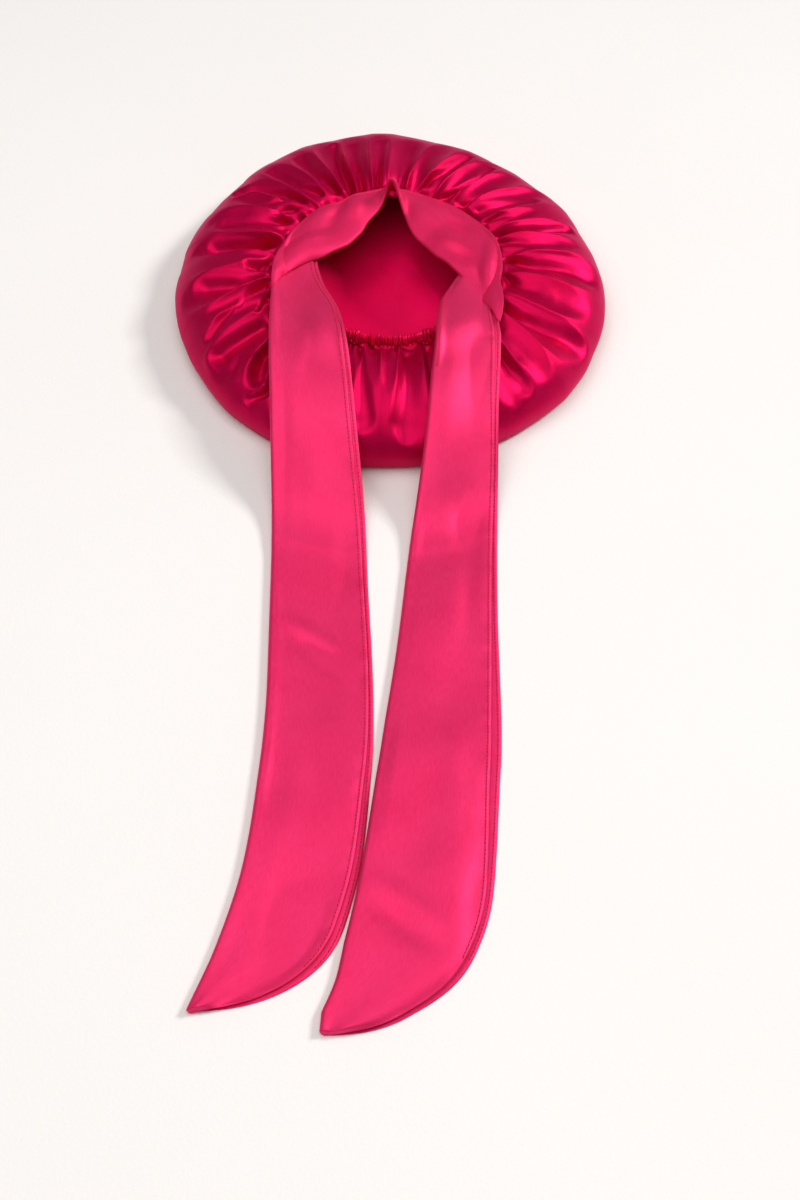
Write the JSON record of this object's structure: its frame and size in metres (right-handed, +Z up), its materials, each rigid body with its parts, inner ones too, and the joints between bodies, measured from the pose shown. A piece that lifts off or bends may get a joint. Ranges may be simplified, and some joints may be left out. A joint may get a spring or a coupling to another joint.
{
  "type": "sleep bonnet",
  "caption": "Gathered satin sleep bonnet, lying with its opening up, with a folded front band that runs on into two long flat ties and a ruched elastic at the nape.",
  "frame": {"origin": "centre of the crown's flat base, on the surface that the bonnet lies on", "axes": "+Z up through the opening, -Y towards the tips of the ties, +X to the right seen from the ties"},
  "size_m": [0.3539, 0.8147, 0.0752],
  "materials": {
    "crown_satin": "glossy crimson satin",
    "band_satin": "satin, hot pink",
    "tie_left_satin": "satin, hot pink",
    "tie_right_satin": "satin, hot pink",
    "casing_satin": "ruched crimson satin"
  },
  "bodies": {
    "root": {"crown": "crown_satin", "front_band": "band_satin", "tie_left": "tie_left_satin", "tie_right": "tie_right_satin", "nape_elastic": "casing_satin"}
  },
  "joints": []
}
